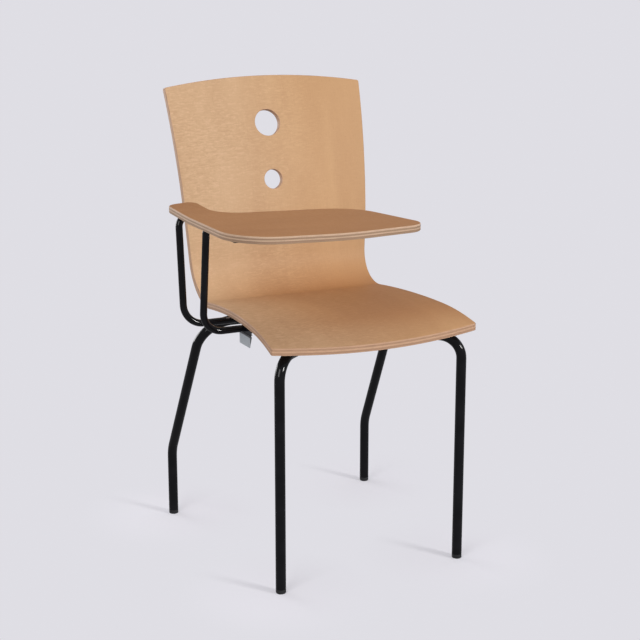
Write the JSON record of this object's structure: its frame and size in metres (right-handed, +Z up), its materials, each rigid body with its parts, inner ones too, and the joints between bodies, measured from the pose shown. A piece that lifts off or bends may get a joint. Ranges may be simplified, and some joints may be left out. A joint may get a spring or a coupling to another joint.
{
  "type": "student desk chair",
  "caption": "Moulded plywood chair on bent steel legs, with a fixed plywood writing tablet carried on steel rods beside the seat.",
  "frame": {"origin": "on the floor, under the middle of the whole object's bounding box", "axes": "+Z up; the sitter faces -Y; +X is towards the sitter's left, so the tablet is on the -X side"},
  "size_m": [0.5221, 0.6203, 0.8496],
  "materials": {
    "seat_plywood": "clear satin lacquer over beech veneer, bare layered edge",
    "tablet_plywood": "clear satin lacquer over beech veneer, rounded layered edge",
    "black_enamel": "gloss black enamel",
    "black_plastic": "moulded, matt",
    "zinc_steel": "bright zinc plate",
    "brass": "turned",
    "label_metal": "satin, blank"
  },
  "bodies": {
    "root": {"seat_shell": "seat_plywood", "tablet": "tablet_plywood", "left_leg_tube": "black_enamel", "right_leg_tube": "black_enamel", "front_left_glide": "black_plastic", "front_right_glide": "black_plastic", "rear_left_glide": "black_plastic", "rear_right_glide": "black_plastic", "seat_mounting_plate": "black_enamel", "seat_spacer": "black_plastic", "seat_screws": "zinc_steel", "seat_insert_nuts": "brass", "front_left_pad": "black_plastic", "front_right_pad": "black_plastic", "rear_left_pad": "black_plastic", "rear_right_pad": "black_plastic", "tablet_carrier_bar": "black_enamel", "carrier_screws": "zinc_steel", "carrier_insert_nuts": "brass", "front_tablet_rod": "black_enamel", "rear_tablet_rod": "black_enamel", "tablet_plate": "black_enamel", "tablet_screws": "zinc_steel", "label_plate": "label_metal", "label_rivets": "zinc_steel"}
  },
  "joints": []
}
